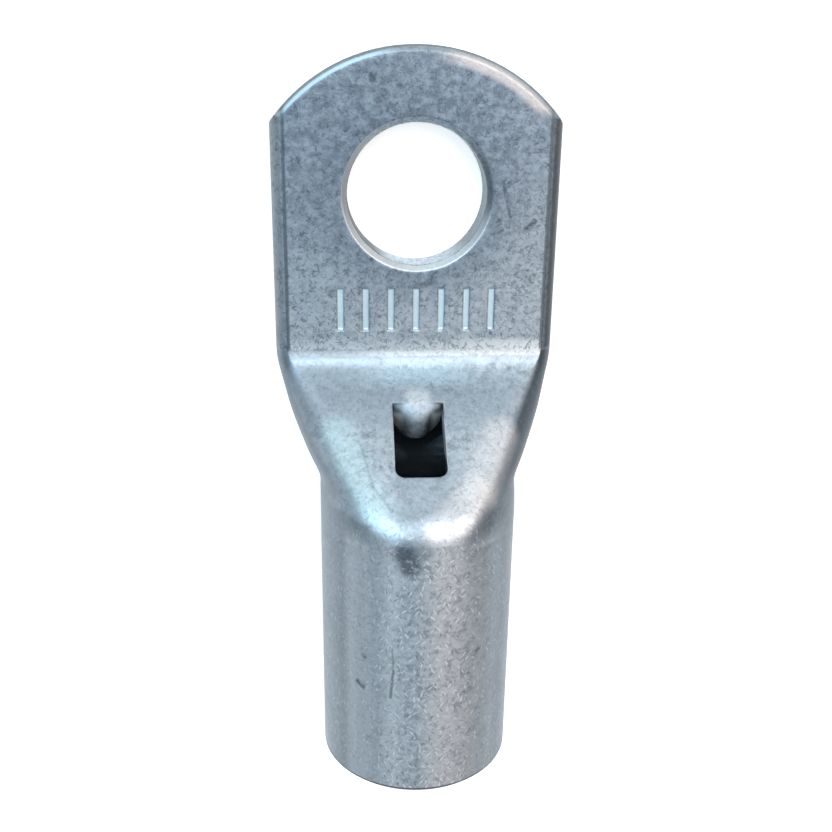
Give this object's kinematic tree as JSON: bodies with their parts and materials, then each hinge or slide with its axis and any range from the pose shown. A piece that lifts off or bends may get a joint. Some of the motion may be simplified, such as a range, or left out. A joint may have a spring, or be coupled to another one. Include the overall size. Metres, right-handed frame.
{
  "type": "compression lug",
  "caption": "Tubular cable lug: round barrel for a stranded conductor, pressed flat at one end into a palm with a stud hole, with a sight window on the slope between.",
  "frame": {"origin": "centre of the stud hole on the palm's back face", "axes": "+Y from the barrel to the palm's tip, +Z out of the palm's front face, +X across the palm"},
  "size_m": [0.0174, 0.044, 0.012],
  "materials": {
    "tinned_copper": "matte tin plating on copper tube"
  },
  "bodies": {
    "root": {"lug": "tinned_copper"}
  },
  "joints": []
}
